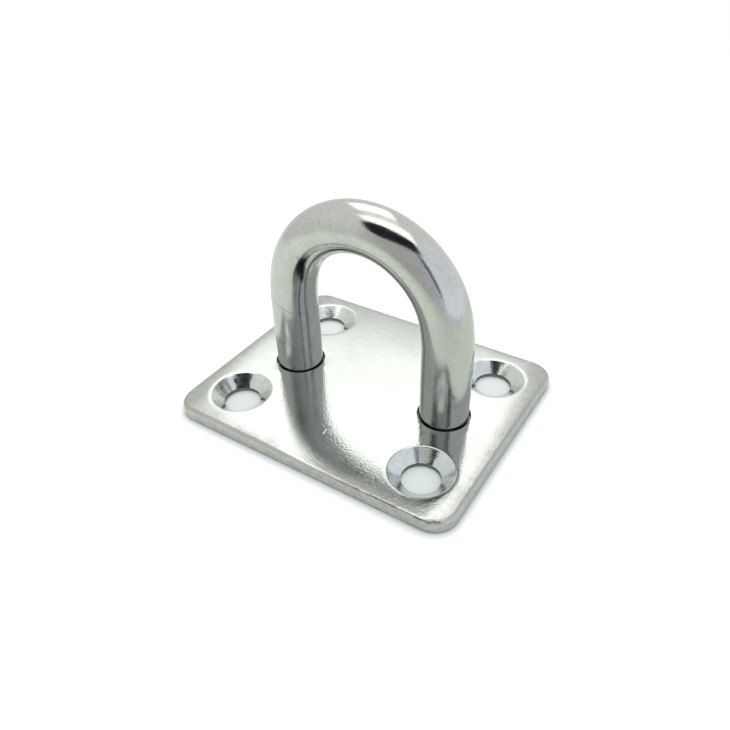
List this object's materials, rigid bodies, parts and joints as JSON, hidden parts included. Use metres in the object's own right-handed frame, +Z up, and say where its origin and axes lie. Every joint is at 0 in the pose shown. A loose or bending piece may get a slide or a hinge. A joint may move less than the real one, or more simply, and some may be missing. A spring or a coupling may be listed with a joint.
{
  "type": "pad eye",
  "caption": "Rectangular welded pad eye for boats: flat plate with countersunk corner holes and an upright half-round bow of steel bar.",
  "frame": {"origin": "centre of the plate's flat mounting face", "axes": "+X from leg to leg along the plate's long side, +Y across the plate and through the eye, +Z up from the mounting face to the top of the bow"},
  "size_m": [0.05, 0.0406, 0.0346],
  "materials": {
    "satin_steel": "stamped stainless steel, tumbled to a bright satin",
    "polished_steel": "polished stainless bar with fine pits and handling scratches",
    "weld_metal": "weld metal ground flush"
  },
  "bodies": {
    "root": {"base_plate": "satin_steel", "bow": "polished_steel", "weld_left": "weld_metal", "weld_right": "weld_metal"}
  },
  "joints": []
}
